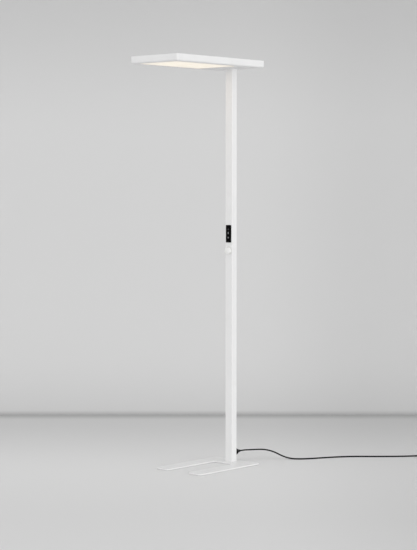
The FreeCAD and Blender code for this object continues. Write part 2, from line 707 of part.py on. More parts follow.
def make_plunger(label, level):
    """The moving pin of the switch behind a key."""
    turned(label, [("0", "switch_front - plunger_in"), ("plunger_r", "switch_front - plunger_in"),
                   ("plunger_r", "plunger_front"), ("0", "plunger_front")],
           z=level, facing="front")


def make_switches():
    body = new_body("key_switches")
    cases = new_sketch(body, "front", "board_front")
    for level in key_levels().values():
        draw_rectangle(cases, *centred("switch_size"), f"{level} - switch_size / 2",
                       f"{level} + switch_size / 2")
    pad(body, cases, "switch_height")
    bores = new_sketch(body, "front", "switch_front")
    circles(bores, [("0", level) for level in key_levels().values()], "plunger_r + plunger_gap")
    cut(body, bores, "switch_bore", backwards=True)


def make_control_board():
    body = new_body("control_board")
    board = new_sketch(body, "front", "board_front")
    half = "(control_half_height - control_wall - fit_gap)"
    draw_rectangle(board, *centred("control_body_width - 2 * control_wall - 2 * fit_gap"),
                   f"control_middle - {half}", f"control_middle + {half}")
    circles(board, board_screw_spots(), "board_screw_r + fit_gap")
    pad(body, board, "board_thick", backwards=True)


# ---------------------------------------------------------------- presence sensor
def make_sensor_ring():
    """The threaded bush of the sensor, with its flange on the post and a ledge for its board."""
    back, ledge = "post_front - sensor_neck", "sensor_ledge + sensor_ledge_thick"
    turned("sensor_ring", [
        ("sensor_inner_r", back), ("sensor_neck_r", back), ("sensor_neck_r", "post_front"),
        ("sensor_flange_r", "post_front"), ("sensor_flange_r", "dome_back"),
        ("sensor_inner_r", "dome_back"), ("sensor_inner_r", ledge), ("sensor_ledge_r", ledge),
        ("sensor_ledge_r", "sensor_ledge"), ("sensor_inner_r", "sensor_ledge"),
    ], z="sensor_z", facing="front")


def make_dome():
    """The sensor's lens: a short skirt closed by a faceted cap, one wall thick. Its facets are
    rings whose edges lie on a ball."""
    ball_r = "((dome_r ^ 2 + dome_cap ^ 2) / (2 * dome_cap))"
    centre = f"(dome_back + dome_skirt + dome_cap - {ball_r})"
    outside = []
    for share in (1, 0.75, 0.4):
        across = f"dome_r * {share}"
        outside.append((across, f"{centre} + sqrt({ball_r} ^ 2 - ({across}) ^ 2)"))
    top = "dome_back + dome_skirt + dome_cap"
    inner_r = "dome_r - dome_wall"
    turned("sensor_dome", [
        (inner_r, "dome_back"), ("dome_r", "dome_back"), *outside, ("0", top),
        ("0", f"{top} - dome_wall"), (f"({inner_r}) * 0.4", f"{top} - dome_wall * 2"),
        (inner_r, "dome_back + dome_skirt - dome_wall / 2"),
    ], z="sensor_z", facing="front")


def make_sensor_insides():
    rim = "sensor_neck_r + thread_gap"
    turned("sensor_nut", [
        (rim, "post_inner_front - sensor_nut"), ("sensor_nut_r", "post_inner_front - sensor_nut"),
        ("sensor_nut_r", "post_inner_front"), (rim, "post_inner_front"),
    ], z="sensor_z", facing="front")
    back = "sensor_ledge - sensor_board"
    turned("sensor_board", [
        ("0", back), ("sensor_inner_r - fit_gap", back),
        ("sensor_inner_r - fit_gap", "sensor_ledge"), ("0", "sensor_ledge"),
    ], z="sensor_z", facing="front")
    turned("motion_detector", [
        ("0", "sensor_ledge"), ("detector_r", "sensor_ledge"),
        ("detector_r", "sensor_ledge + detector_height"),
        ("0", "sensor_ledge + detector_height"),
    ], z="sensor_z", facing="front")


make_post_tube()
make_foot_block()
make_side_screws("post_foot_screws", "base_top + side_screw_up")
make_side_screws("post_head_screws", "head_bottom - side_screw_up")
make_control_panel()
for key_label, key_level in key_levels().items():
    make_key(key_label, key_level)
    make_plunger(key_label + "_plunger", key_level)
turned("light_sensor_lens", [
    ("0", "face_inner - 1"), ("lens_r + 1", "face_inner - 1"), ("lens_r + 1", "face_inner"),
    ("lens_r", "face_inner"), ("lens_r", "control_front - 0.2"), ("0", "control_front - 0.2"),
], z="lens_z", facing="front")
make_switches()
make_control_board()
screws("control_board_screws", [(x, f"-({z})") for x, z in board_screw_spots()],
       "board_thick + (face_inner - board_front) * 0.6", "rear", "board_thick - board_front",
       "board_screw_head_r", "1.4", "board_screw_r")
make_sensor_ring()
make_dome()
make_sensor_insides()


# ---------------------------------------------------------------- foot
def draw_foot(sketch, inset):
    """The U-shaped outline of the foot, this far inside its real edge."""
    outer, inner = f"(base_width / 2 - {inset})", f"(slot_half + {inset})"
    front, rear = f"-base_front + {inset}", f"base_rear - {inset}"
    slot = f"-slot_rear + {inset}"
    half = [(inner, slot), (inner, front), (outer, front), (outer, rear)]
    corners = half + [(f"-{x}", y) for x, y in reversed(half)]
    radii = {i: f"base_corner - {inset}" for i in range(1, 7)}
    radii[0] = radii[7] = f"slot_corner + {inset}"
    draw_outline(sketch, corners, radii)


def make_base_plate():
    body = new_body("base_plate")
    outline = new_sketch(body, "top", "base_bottom")
    draw_foot(outline, "0")
    pad(body, outline, "base_thick")
    dress_edges(body, "Chamfer", "base_edge_break", in_plane("z", "base_top"))
    holes = new_sketch(body, "top", "base_bottom")
    circles(holes, foot_screw_spots(), "foot_screw_r + fit_gap")
    cut(body, holes, "base_thick")
    sinks = new_sketch(body, "top", "base_bottom")
    circles(sinks, foot_screw_spots(), "foot_screw_head_r + fit_gap")
    cut(body, sinks, "foot_screw_head")


def make_underlay():
    """The thin mat under the foot, on which the lamp stands."""
    body = new_body("base_underlay")
    outline = new_sketch(body, "top", "0")
    draw_foot(outline, "underlay_inset")
    pad(body, outline, "underlay_thick")


# ---------------------------------------------------------------- mains lead
def make_strain_relief():
    """The trumpet of soft rubber where the lead leaves the post, and its nut inside."""
    sweep = [(f"relief_waist_r + (relief_r - relief_waist_r) * {wide}",
              f"post_front + relief_plate + relief_waist * {on}")
             for wide, on in ((0.35, 0.3), (0, 1.1))]
    turned("strain_relief", [
        ("0", "post_front - relief_neck"), ("relief_neck_r", "post_front - relief_neck"),
        ("relief_neck_r", "post_front"), ("relief_r", "post_front"),
        ("relief_r", "post_front + relief_plate"), *sweep,
        ("relief_tip_r", "relief_end"), ("0", "relief_end"),
    ], z="lead_z", facing="rear")
    bore = "relief_neck_r + thread_gap"
    turned("strain_relief_nut", [
        (bore, "post_inner_front - relief_nut"), ("relief_nut_r", "post_inner_front - relief_nut"),
        ("relief_nut_r", "post_inner_front"), (bore, "post_inner_front"),
    ], z="lead_z", facing="rear")


def line_and_arcs(points, radii=None):
    """Straight runs joined by tangent arcs. Each arc is as large as its two runs allow, or
    has the radius given for it."""
    edges, made, start = [], [], points[0]
    for i in range(1, len(points) - 1):
        before, after = points[i] - points[i - 1], points[i + 1] - points[i]
        turn = before.getAngle(after)
        shorter = min(before.Length, after.Length)
        radius = radii[i - 1] if radii else 0.45 * shorter / math.tan(turn / 2)
        reach = radius * math.tan(turn / 2)
        into, out = before.normalize(), after.normalize()
        first, last = points[i] - into * reach, points[i] + out * reach
        towards = (out - into).normalize()
        middle = points[i] + towards * (radius / math.cos(turn / 2) - radius)
        if (first - start).Length > 1e-4:
            edges.append(Part.LineSegment(start, first).toShape())
        edges.append(Part.Arc(first, middle, last).toShape())
        made.append(radius)
        start = last
    edges.append(Part.LineSegment(start, points[-1]).toShape())
    return edges, made


TUBE_SIDES = 6


def make_tube(label, edges, radius):
    """A six-sided tube along tangent edges, closed at both ends. It compares its volume
    with its section times its length."""
    wire = Part.Wire(edges)
    start, along = edges[0].valueAt(edges[0].FirstParameter), edges[0].tangentAt(edges[0].FirstParameter)
    beside = along.cross(Vector(0, 0, 1) if abs(along.z) < 0.9 else Vector(1, 0, 0)).normalize()
    above = beside.cross(along)
    corners = []
    for k in range(TUBE_SIDES + 1):
        angle = 2 * math.pi * (k + 0.5) / TUBE_SIDES
        corners.append(start + (beside * math.cos(angle) + above * math.sin(angle)) * radius)
    section = Part.makePolygon(corners)
    solid = wire.makePipeShell([section], True, False)
    if solid.Volume < 0:
        solid.reverse()
    area = TUBE_SIDES / 2 * math.sin(2 * math.pi / TUBE_SIDES) * radius ** 2
    share = solid.Volume / (area * wire.Length)
    print(f"{label}: {wire.Length:.1f} long, volume {share:.5f} of section times length")
    lead = doc.addObject("Part::Feature", label)
    lead.Label = label
    lead.Shape = solid
    lead.Placement = Placement()
    return wire.Length


def make_inner_lead():
    """The lead inside the post, from the strain relief up to the terminal block."""
    y, bend = number("inner_lead_y"), number("inner_lead_bend")
    top = number("head_floor + terminal_lead_up")
    inlet = number("post_front - relief_neck")
    points = [Vector(0, inlet, number("lead_z")), Vector(0, y, number("lead_z")),
              Vector(0, y, top), Vector(number("terminal_left"), y, top)]
    edges, _ = line_and_arcs(points, [bend, bend])
    make_tube("inner_lead", edges, number("inner_lead_r"))


# The lead outside: it leaves the strain relief level, bends to the right and down to the
# floor, and runs over the floor to the coil. Points along it, from the strain relief on.
LEAD_ROUTE = [
    (0, 100, 50), (3, 136, 46.5), (15, 174, 45.5), (45, 207, 45), (84, 231, 34),
    (122, 247, 15), (160, 262, 4.5), (200, 290, 3.6), (234, 338, 3.5), (268, 410, 3.5),
    (306, 474, 3.5), (352, 532, 3.5), (406, 577, 3.5), (462, 628, 3.5), (521, 684, 3.5),
]
LAST_RUN = 60
COIL_START = Vector(608, 796, 3.5)
COIL_HEADING = math.radians(52.3)
# The end of the lead, from the coil to the plug: points ahead of the coil's start, to the
# right of it, and up from the floor.
TAIL_ROUTE = [(30, 4, 11.3), (52, 4.2, 12.3), (71, 15.2, 15.3), (82, 34.3, 19), (82, 57, 19)]


def coil_frame():
    """Directions ahead and to the right of the lead where it enters the coil."""
    ahead = Vector(math.cos(COIL_HEADING), math.sin(COIL_HEADING), 0)
    return ahead, Vector(ahead.y, -ahead.x, 0)


def coil_point(turns):
    """A point of the coil's centre line after this many turns, and the way on. The lead
    spirals in on the lower layer, climbs one layer in half a turn and spirals out again."""
    whole, pitch = number("coil_turns"), number("turn_pitch")
    climb, layer = 0.5, number("layer_pitch")
    share = (turns - whole) / climb
    rise = steep = 0
    if share <= 0:
        inwards, slope = turns * pitch, pitch
    elif share < 1:
        inwards = whole * pitch + pitch * climb / math.pi * math.sin(math.pi * share)
        slope = pitch * math.cos(math.pi * share)
        rise = layer * (1 - math.cos(math.pi * share)) / 2
        steep = layer * math.pi * math.sin(math.pi * share) / 2 / climb
    else:
        inwards, slope = (2 * whole + climb - turns) * pitch, -pitch
        rise = layer
    ahead, right = coil_frame()
    centre = COIL_START + right * number("coil_outer_r")
    radius, angle = number("coil_outer_r") - inwards, 2 * math.pi * turns
    outward = ahead * math.sin(angle) - right * math.cos(angle)
    onward = ahead * math.cos(angle) + right * math.sin(angle)
    point = centre + outward * radius + Vector(0, 0, rise)
    way = onward * (2 * math.pi * radius) - outward * slope + Vector(0, 0, steep)
    return point, way.normalize()


def biarc(start, way_in, end, way_out):
    """Two arcs that join two points and keep both directions."""
    chord = end - start
    both = way_in + way_out
    a = 2 * (1 - way_in.dot(way_out))
    b = 2 * chord.dot(both)
    c = -chord.dot(chord)
    if abs(a) < 1e-9:
        reach = -c / b
    else:
        reach = (-b + math.sqrt(b * b - 4 * a * c)) / (2 * a)
    joint = (start + way_in * reach + end - way_out * reach) * 0.5
    return [arc_from(start, way_in, joint), arc_from(end, way_out * -1, joint, back=True)]


def arc_from(start, way, end, back=False):
    """The arc that leaves a point in a direction and ends at another."""
    length = (end - start).Length
    chord = (end - start) / length
    middle_way = (way + chord).normalize()
    middle = start + middle_way * (length / 2 / math.cos(way.getAngle(chord) / 2))
    ends = (end, middle, start) if back else (start, middle, end)
    return Part.Arc(*ends).toShape()


def coil_edges():
    """The coil as biarcs of half a turn, with a straight lead's diameter at each end. The
    last turns stop where the lead heads straight on again."""
    straight = 2 * number("lead_r")
    joints = [coil_point(k / 2) for k in range(int(4 * number("coil_turns")) + 1)]
    edges = []
    for (start, way_in), (end, way_out) in zip(joints, joints[1:], strict=False):
        edges += biarc(start, way_in, end, way_out)
    (first, way), (last, onward) = joints[0], joints[-1]
    edges.insert(0, Part.LineSegment(first - way * straight, first).toShape())
    edges.append(Part.LineSegment(last, last + onward * straight).toShape())
    return edges


def least_gap(edges, radius):
    """The least gap between stretches of a tube that lie over six radii apart along it."""
    points = Part.Wire(edges).discretize(Distance=2)
    skip = int(3 * radius)
    pairs = ((here, there) for i, here in enumerate(points) for there in points[i + skip:])
    return min((there - here).Length for here, there in pairs) - 2 * radius


def make_leads():
    radius = number("lead_r")
    coil = coil_edges()
    first, last = coil[0], coil[-1]
    way, onward = first.tangentAt(first.FirstParameter), last.tangentAt(last.LastParameter)
    coil_inlet, coil_outlet = first.valueAt(first.FirstParameter), last.valueAt(last.LastParameter)
    route = [Vector(0, number("relief_end"), number("lead_z")), *(Vector(*p) for p in LEAD_ROUTE),
             coil_inlet - way * LAST_RUN, coil_inlet]
    edges, radii = line_and_arcs(route)
    print("mains_lead radii:", [round(r) for r in radii])
    total = make_tube("mains_lead", edges, radius)
    total += make_tube("mains_lead_coil", coil, radius)
    print(f"mains_lead_coil: least gap to itself {least_gap(coil, radius):.2f}")
    ahead, right = coil_frame()
    floor = Vector(COIL_START.x, COIL_START.y, 0)
    tail = [coil_outlet, *(floor + ahead * a + right * r + Vector(0, 0, z) for a, r, z in TAIL_ROUTE)]
    tail[1] = coil_outlet + onward * (tail[1] - coil_outlet).Length
    edges, radii = line_and_arcs(tail)
    print("mains_lead_end radii:", [round(r) for r in radii])
    total += make_tube("mains_lead_end", edges, radius)
    print(f"mains lead: {total:.0f} long in all")
    return tail[-1], right


def make_plug(place, way):
    """A moulded plug that lies on the floor beside the coil, and its two pins."""
    turn = Placement(place, Rotation(Vector(0, 0, 1), way))
    body = new_body("plug_body")
    profile = new_sketch(body, "front")
    face = "plug_tail + plug_length"
    draw_outline(profile, [
        ("0", "0"), ("plug_tail_r * 0.8", "0"), ("plug_tail_r", "plug_tail"),
        ("plug_r * 0.72", "plug_tail + plug_length * 0.25"),
        ("plug_r", "plug_tail + plug_length * 0.6"), ("plug_r", f"{face} - plug_edge"),
        ("plug_r - plug_edge", face), ("0", face),
    ])
    revolve(body, profile)
    body.Placement = turn
    pins = new_body("plug_pins")
    ends = new_sketch(pins, "top", face)
    circles(ends, [("-plug_pin_pitch / 2", "0"), ("plug_pin_pitch / 2", "0")], "plug_pin_r")
    pad(pins, ends, "plug_pin_length")
    dress_edges(pins, "Chamfer", "plug_pin_edge", in_plane("z", f"{face} + plug_pin_length"))
    pins.Placement = turn


make_base_plate()
make_underlay()
screws("base_screws", [(x, f"-({y})") for x, y in foot_screw_spots()], "foot_screw_length + foot_screw_head - 1",
       "down", "base_bottom + foot_screw_head", "foot_screw_head_r", "foot_screw_head", "foot_screw_r")
make_strain_relief()
make_inner_lead()
make_plug(*make_leads())


# ---------------------------------------------------------------- export
NODES = """
head_housing head_top_cover cover_screws downlight_diffuser uplight_pane led_carrier
carrier_screws downlight_led_strips uplight_led_strips head_bracket bracket_screws led_driver
driver_screws terminal_block driver_lead post_tube post_foot_block post_foot_screws
post_head_screws control_panel brighter_key brighter_key_plunger dimmer_key
dimmer_key_plunger light_sensor_lens key_switches control_board control_board_screws
sensor_ring sensor_dome sensor_nut sensor_board motion_detector base_plate base_underlay
base_screws strain_relief strain_relief_nut inner_lead mains_lead mains_lead_coil
mains_lead_end plug_body plug_pins
""".split()

doc.recompute()
failed = [item.Label for item in doc.Objects if {"Invalid", "Error"} & set(item.State)]
if failed:
    raise ValueError(f"these objects failed: {failed}")
shapes = {}
for node in NODES:
    shape = doc.getObjectsByLabel(node)[0].Shape
    if shape.isNull() or not shape.isValid() or not shape.Solids:
        raise ValueError(f"{node} has no valid solid")
    shapes[node] = shape
for node, shape in shapes.items():
    shape.exportStep(f"parts/{node}.step")
    print(f"{node}: {len(shape.Solids)} solids, {shape.Volume / 1000:.2f} cm3")
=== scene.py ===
# %% [markdown]
# # An office floor lamp
# A flat lighting head on a rectangular post stands on a U-shaped steel foot. The packed model
# gives every rigid piece its true size and place, so this lesson is about looks: a camera, a
# studio, a cord that lies on the floor as a cord does, and a finish for each material.
# Everything is in metres. The origin is on the floor under the post, +Z is up, and the head
# reaches towards -Y.

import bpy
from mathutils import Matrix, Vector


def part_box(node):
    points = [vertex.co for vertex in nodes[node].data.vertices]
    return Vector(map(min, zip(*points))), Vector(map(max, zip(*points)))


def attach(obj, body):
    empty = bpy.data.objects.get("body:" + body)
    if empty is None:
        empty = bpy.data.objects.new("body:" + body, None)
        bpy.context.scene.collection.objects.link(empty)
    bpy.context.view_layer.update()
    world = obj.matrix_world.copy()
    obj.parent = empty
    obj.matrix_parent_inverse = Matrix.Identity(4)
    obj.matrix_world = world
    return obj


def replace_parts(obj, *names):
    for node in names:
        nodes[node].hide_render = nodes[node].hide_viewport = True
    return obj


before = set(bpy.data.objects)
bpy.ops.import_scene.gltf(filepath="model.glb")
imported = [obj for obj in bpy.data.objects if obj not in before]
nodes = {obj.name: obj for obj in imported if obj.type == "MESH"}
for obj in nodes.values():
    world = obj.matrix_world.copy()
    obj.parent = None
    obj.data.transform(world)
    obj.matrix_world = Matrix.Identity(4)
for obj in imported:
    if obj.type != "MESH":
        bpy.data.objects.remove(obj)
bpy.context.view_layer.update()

# %% The modules of this lesson
import math

import bmesh
import bpy
from mathutils import Matrix, Vector

scene = bpy.context.scene

# %% [markdown]
# ## The camera
# A photograph of a tall thin lamp is taken from far away with a long lens, which keeps its
# upright lines upright. Blender gives a lens in millimetres for a sensor whose long side is
# 36 mm. The long side of this picture is its height of 550 pixels, so a focal length in
# pixels becomes a lens by one proportion. Turning the camera down a little frames the lamp.

# %% Camera
PICTURE_HEIGHT = 550
FOCAL_PIXELS = 1647.4
SENSOR_SIDE = 36
CAMERA_PLACE = (5.2504, -6.035, 1.3371)
LOOK_DOWN = math.radians(3.0)
LOOK_ASIDE = math.radians(41.81)


def make_camera():
    data = bpy.data.cameras.new("studio_camera")
    data.sensor_width = SENSOR_SIDE
    data.lens = FOCAL_PIXELS * SENSOR_SIDE / PICTURE_HEIGHT
    camera = bpy.data.objects.new("studio_camera", data)
    camera.location = CAMERA_PLACE
    camera.rotation_euler = (math.pi / 2 - LOOK_DOWN, 0, LOOK_ASIDE)
    scene.collection.objects.link(camera)
    scene.camera = camera
    return camera


print("lens", round(make_camera().data.lens, 1), "mm")

# %% [markdown]
# ## The cord's route
# A mains lead is one fixed length of something springy. It leaves its rubber sleeve level,
# sinks to the floor, and runs off in one long lazy curve. What the picture doesn't show is
# wound up as for storage, in two layers of turns a diameter apart, with the plug beside them.
# The route is a list of points, and the smooth line comes from a NURBS spline that uses them
# as its control points. An order of 3 keeps the line close to them and never kinks.

# %% Points of the lead on the floor
EXIT = Vector((0, 0.068, 0.05))
LEAD_R = 0.0035
LEAD_ROUTE = [
    (0, 0.100, 0.05), (0.003, 0.136, 0.0465), (0.015, 0.174, 0.0455), (0.045, 0.207, 0.045),
    (0.084, 0.231, 0.034), (0.122, 0.247, 0.015), (0.160, 0.262, 0.0045), (0.200, 0.290, 0.0036),
    (0.234, 0.338, LEAD_R), (0.268, 0.410, LEAD_R), (0.306, 0.474, LEAD_R),
    (0.352, 0.532, LEAD_R), (0.406, 0.577, LEAD_R), (0.462, 0.628, LEAD_R),
    (0.521, 0.684, LEAD_R),
]
# The run's last straight piece, and the short straights at both ends of the coil.
LAST_RUN = 0.06
STRAIGHT = 2 * LEAD_R
print(len(LEAD_ROUTE), "points before the coil")

# %% Points of the coil
COIL_START = Vector((0.608, 0.796, LEAD_R))
COIL_HEADING = math.radians(52.3)
COIL_TURNS = 4
COIL_OUTER_R = 0.054
TURN_PITCH = LAYER_PITCH = 0.0078
CLIMB = 0.5
POINTS_PER_TURN = 12
# Control points lie a little outside the round line that their spline draws.
OUTSIDE = 1 / math.cos(math.pi / POINTS_PER_TURN)
AHEAD = Vector((math.cos(COIL_HEADING), math.sin(COIL_HEADING), 0))
RIGHT = Vector((AHEAD.y, -AHEAD.x, 0))


def coil_point(turns, spread=1.0):
    """A point of the coil after this many turns: in on the lower layer, up, and out again."""
    share = (turns - COIL_TURNS) / CLIMB
    rise = 0.0
    if share <= 0:
        inwards = turns * TURN_PITCH
    elif share < 1:
        dip = TURN_PITCH * CLIMB / math.pi * math.sin(math.pi * share)
        inwards = COIL_TURNS * TURN_PITCH + dip
        rise = LAYER_PITCH * (1 - math.cos(math.pi * share)) / 2
    else:
        inwards = (2 * COIL_TURNS + CLIMB - turns) * TURN_PITCH
        rise = LAYER_PITCH
    angle = 2 * math.pi * turns
    outward = AHEAD * math.sin(angle) - RIGHT * math.cos(angle)
    centre = COIL_START + RIGHT * COIL_OUTER_R
    return centre + outward * (COIL_OUTER_R - inwards) * spread + Vector((0, 0, rise))


steps = range(2 * COIL_TURNS * POINTS_PER_TURN + 1)
coil = [coil_point(k / POINTS_PER_TURN, OUTSIDE) for k in steps]
coil_inlet = coil_point(0) - AHEAD * STRAIGHT
print(len(coil), "points in the coil")

# %% Points of the tail, and the plug's place
TAIL_ROUTE = [(0.030, 0.004, 0.0113), (0.052, 0.0042, 0.0123), (0.071, 0.0152, 0.0153),
              (0.082, 0.0343, 0.019), (0.082, 0.057, 0.019)]


def beside_coil(ahead, right, up):
    return COIL_START + AHEAD * ahead + RIGHT * right + Vector((0, 0, up - LEAD_R))


tail = [beside_coil(*point) for point in TAIL_ROUTE]
coil_end = coil_point(2 * COIL_TURNS)
tail.insert(0, coil_end + AHEAD * STRAIGHT)
plug_place = tail[-1]
route = [EXIT, *(Vector(point) for point in LEAD_ROUTE), coil_inlet - AHEAD * LAST_RUN,
         coil_inlet, *coil, *tail]
print("the cord has", len(route), "points")


# %% [markdown]
# ## A spline with thickness
# A curve object with a bevel depth is a round tube along its spline, and it keeps its true
# centre line, so its length can be measured. The tube's radius is that depth times the radius of
# each point, and Blender reckons the curve's box from the points' radii. So the points carry the
# cord's true radius, and the depth is 1. The spline's order and its ends are set after its
# points exist, because a new spline is short, and a short one holds a low order.


def make_line(name, points, radius):
    """A round tube along one open NURBS spline through these control points."""
    data = bpy.data.curves.new(name, "CURVE")
    data.dimensions = "3D"
    spline = data.splines.new("NURBS")
    spline.points.add(len(points) - 1)
    for at, point in zip(spline.points, points):
        at.co = (*point, 1)
        at.radius = radius
    spline.order_u = 3
    spline.use_endpoint_u = True
    spline.use_smooth = True
    spline.resolution_u = 4
    data.bevel_depth = 1
    data.bevel_resolution = 4
    data.use_fill_caps = True
    line = bpy.data.objects.new(name, data)
    scene.collection.objects.link(line)
    return line


def length_of(line):
    """The length of a spline, from a copy of it with no bevel, as Blender draws it."""
    bare = line.copy()
    bare.data = line.data.copy()
    bare.data.bevel_depth = 0
    drawn = bpy.data.meshes.new_from_object(bare)
    bpy.data.objects.remove(bare)
    spots = [vertex.co for vertex in drawn.vertices]
    return sum((spots[b] - spots[a]).length for a, b in (edge.vertices for edge in drawn.edges))


mains_cord = make_line("mains_cord", route, LEAD_R)
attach(mains_cord, "root")
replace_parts(mains_cord, "mains_lead", "mains_lead_coil", "mains_lead_end")
print("the spline is", round(length_of(mains_cord), 3), "m long")

# %% [markdown]
# ## Writing shaders as sums
# A material is a net of nodes. Most of those nodes only add, multiply or divide, so a small
# class wraps an output socket and turns each operator into the node that does it. Then a
# pattern reads like the formula that it is. Every other node comes from one call, `node`, and
# colours always pass through Mix nodes, because a Math node would make them grey.

# %% A socket that works in formulas
class Wire:
    """An output socket of a material's net, for use in formulas."""

    def __init__(self, paint, socket):
        self.paint, self.socket = paint, socket

    def do(self, operation, *values):
        return self.paint.node("ShaderNodeMath", {"operation": operation}, dict(enumerate(values)))

    def __add__(self, other):
        return self.do("ADD", self, other)

    def __sub__(self, other):
        return self.do("SUBTRACT", self, other)

    def __rsub__(self, other):
        return self.do("SUBTRACT", other, self)

    def __mul__(self, other):
        return self.do("MULTIPLY", self, other)

    def __truediv__(self, other):
        return self.do("DIVIDE", self, other)

    def __mod__(self, step):
        return self.do("FLOORED_MODULO", self, step)

    def __abs__(self):
        return self.do("ABSOLUTE", self)

    __radd__ = __add__
    __rmul__ = __mul__

    def between(self, low, high):
        """0 below low, 1 above high, and a smooth rise in between."""
        sockets = {"Value": self, "From Min": low, "From Max": high}
        return self.paint.node("ShaderNodeMapRange", {"interpolation_type": "SMOOTHSTEP"}, sockets)


print("operators:", sorted(set(vars(Wire)) & (set(vars(float)) - set(vars(object)))))


# %% Colours
def as_light(shade):
    """A shade as seen on a screen, 0 to 255, as the light that a shader works with."""
    share = shade / 255
    return share / 12.92 if share <= 0.04045 else ((share + 0.055) / 1.055) ** 2.4


def tint(red, green, blue):
    """A colour of three shades."""
    return (as_light(red), as_light(green), as_light(blue), 1.0)


def grey(shade):
    return tint(shade, shade, shade)


print("white paint is", [round(c, 3) for c in grey(234)])


# %% The net of a material
class Paint:
    """The net of a material or of the world, with the calls that add nodes to it."""

    def __init__(self, owner):
        owner.use_nodes = True
        self.owner, self.tree = owner, owner.node_tree
        self.tree.nodes.clear()

    def node(self, kind, settings=None, inputs=None, output=0):
        """A node of this type: its settings first, then its sockets' values or links."""
        made = self.tree.nodes.new(kind)
        for name, value in (settings or {}).items():
            setattr(made, name, value)
        for key, value in (inputs or {}).items():
            if isinstance(value, Wire):
                self.tree.links.new(value.socket, made.inputs[key])
            else:
                made.inputs[key].default_value = value
        return Wire(self, made.outputs[output])

    def spot(self):
        """The place on the object, in metres."""
        return self.node("ShaderNodeTexCoord", output="Object")

    def along(self, axis):
        """One coordinate of that place."""
        return self.node("ShaderNodeSeparateXYZ", inputs={0: self.spot()}, output=axis)

    def noise(self, size, detail, stretch=(1, 1, 1)):
        """Soft random spots, 0 to 1, about this many metres across."""
        where = self.node("ShaderNodeVectorMath", {"operation": "MULTIPLY"},
                          {0: self.spot(), 1: stretch})
        sockets = {"Vector": where, "Scale": 1 / size, "Detail": detail}
        return self.node("ShaderNodeTexNoise", inputs=sockets)

    def mix(self, share, first, second):
        """A colour between two, by a share from 0 to 1."""
        sockets = {0: share, 6: first, 7: second}
        return self.node("ShaderNodeMix", {"data_type": "RGBA"}, sockets, output=2)

    def relief(self, height, depth):
        """A bumped normal from a height of 0 to 1 and the depth in metres that 1 stands for."""
        sockets = {"Height": height, "Distance": depth, "Strength": 1.0}
        return self.node("ShaderNodeBump", inputs=sockets)

    def finish(self, **sockets):
        """The surface itself, whose words name its sockets, such as Base_Color."""
        inputs = {name.replace("_", " "): value for name, value in sockets.items()}
        return self.surface(self.node("ShaderNodeBsdfPrincipled", inputs=inputs))

    def surface(self, shader):
        """Ends the net with this shader and gives back what the net belongs to."""
        kind = "World" if isinstance(self.owner, bpy.types.World) else "Material"
        output = self.tree.nodes.new("ShaderNodeOutput" + kind)
        self.tree.links.new(shader.socket, output.inputs["Surface"])
        return self.owner


def new_paint(name):
    return Paint(bpy.data.materials.new(name))


print("calls:", [name for name in vars(Paint) if not name.startswith("_")])

# %% [markdown]
# ## Powder coat
# The head, the post and the foot are painted with a fine white powder that is baked on. Close
# up it has a slight orange peel about a millimetre across, and its gloss is never quite even.
# Two sizes of noise give that relief, and a third, much wider one shifts the tone a hair, which
# keeps a large white panel from looking like paper.

# %% White powder coat
PLASTIC_IOR = 1.5
PEEL_DEPTH = 0.00012


def powder_coat():
    paint = new_paint("white_powder_coat")
    peel = paint.noise(0.0011, 2.0) * 0.65 + paint.noise(0.0034, 1.0) * 0.35
    cloud = paint.noise(0.16, 2.0)
    handled = paint.noise(0.045, 4.0).between(0.52, 0.78)
    colour = paint.mix(cloud, grey(231), grey(237))
    colour = paint.mix(handled * 0.10, colour, tint(214, 212, 208))
    return paint.finish(Base_Color=colour, Roughness=0.29 + 0.10 * cloud + 0.06 * handled,
                        Normal=paint.relief(peel, PEEL_DEPTH), IOR=PLASTIC_IOR)


white_coat = powder_coat()
print(white_coat.name, len(white_coat.node_tree.nodes), "nodes")

# %% [markdown]
# ## Light from within
# The pane under the head is opal acrylic, lit by rows of small LEDs. The sheet smooths them
# into one warm glow that is a little stronger over each row and falls off at the rim, where no
# LED reaches. A gentle glow is enough: the studio light still shows the sheet's own white.

# %% Glowing opal panes
ACRYLIC_IOR = 1.49
RIM_FADE, END_FADE = 0.028, 0.03
SPECK_DEPTH = 0.00002


def opal_pane(name, rows, pitch, half_width, front, rear, glow):
    """An opal sheet over rows of LEDs along Y, with its lit field between front and rear."""
    paint = new_paint(name)
    across, onward = paint.along("X"), paint.along("Y")
    from_row = abs((across / pitch + (rows + 1) / 2 + 0.5) % 1.0 - 0.5)
    band = from_row.between(0.5, 0.1)
    rim = (half_width - abs(across)).between(0.0, RIM_FADE)
    ends = (onward - front).between(0.0, END_FADE) * (rear - onward).between(0.0, END_FADE)
    field = rim * ends
    haze = paint.noise(0.05, 2.0)
    shine = paint.mix(field, tint(240, 212, 178), tint(255, 238, 206))
    shine = paint.mix(band * field * 0.25 + haze * 0.08, shine, tint(255, 243, 216))
    speck = paint.noise(0.0006, 1.0)
    return paint.finish(Base_Color=paint.mix(haze, tint(232, 231, 228), tint(240, 239, 236)),
                        Roughness=0.42 + 0.10 * speck, Normal=paint.relief(speck, SPECK_DEPTH),
                        Emission_Color=shine, Emission_Strength=glow, IOR=ACRYLIC_IOR)


down_pane = opal_pane("opal_diffuser", rows=5, pitch=0.046, half_width=0.118,
                      front=-0.515, rear=-0.105, glow=0.42)
up_pane = opal_pane("opal_uplight", rows=3, pitch=0.070, half_width=0.113,
                    front=-0.505, rear=-0.115, glow=0.20)
print(down_pane.name, "and", up_pane.name)

# %% [markdown]
# ## Metals
# Zinc-plated steel is grey with a faint bluish cast and cloudy patches. The folded aluminium
# sheet that carries the LEDs shows fine lines from the rolling mill, so its noise is stretched
# along one axis. The brass pins of the plug are bright where the socket's springs rub them.

# %% Steel, aluminium and brass
LINE_DEPTH = 0.00001


